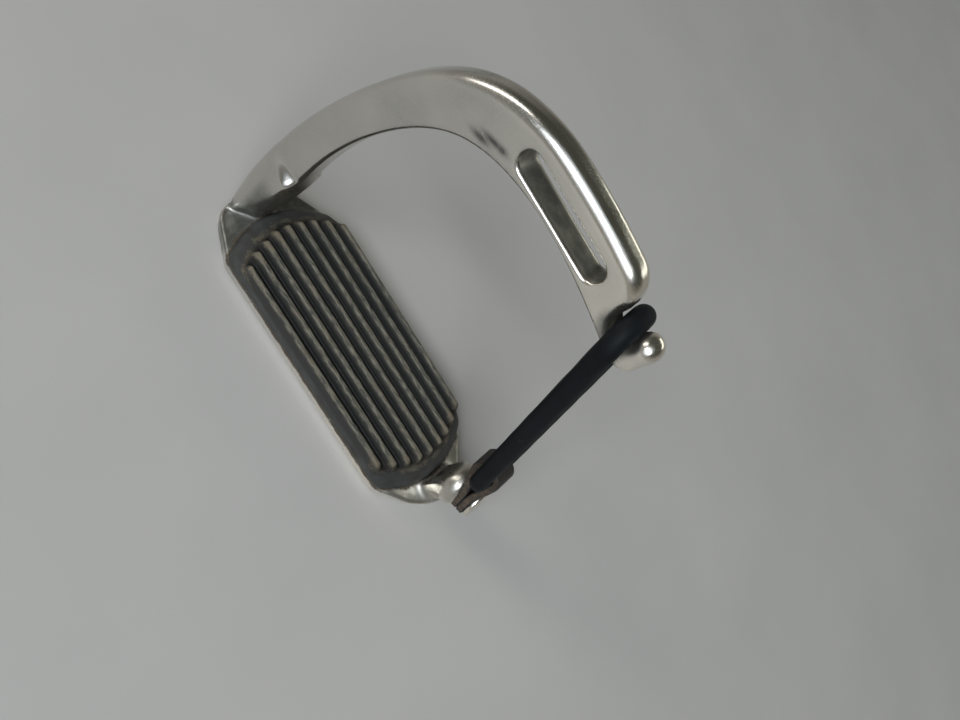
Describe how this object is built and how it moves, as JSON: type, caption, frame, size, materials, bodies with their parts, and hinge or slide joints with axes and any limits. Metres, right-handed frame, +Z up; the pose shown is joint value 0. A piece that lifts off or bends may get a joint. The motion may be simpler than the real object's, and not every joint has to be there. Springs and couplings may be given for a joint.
{
  "type": "safety stirrup iron",
  "caption": "Stirrup iron with a closed branch, a leather eye in its flat crown, a ribbed rubber tread pad, and a release side closed by a rubber ring and leather tab.",
  "frame": {"origin": "on the underside of the tread's centre bar, in the middle of the tread", "axes": "+Z up through the leather eye; +X from the closed branch to the open side with the rubber ring; Y fore and aft, through the stirrup"},
  "size_m": [0.1254, 0.0402, 0.124],
  "materials": {
    "stainless": "hand-polished cast stainless steel, worn",
    "pad_rubber": "matte moulded rubber, dusty ribs",
    "ring_rubber": "smooth matte rubber",
    "tab_leather": "dark dyed strap leather with raw tan edges"
  },
  "bodies": {
    "iron": {"frame": "stainless", "tread_pad": "pad_rubber", "leather_tab": "tab_leather"},
    "ring": {"rubber_ring": "ring_rubber"}
  },
  "joints": [
    {"name": "ring_release", "type": "hinge", "parent": "iron", "child": "ring", "pos_m": [0.05373, 0, 0.0393], "axis": [0, 1, 0], "range_deg": [0, 115]}
  ]
}
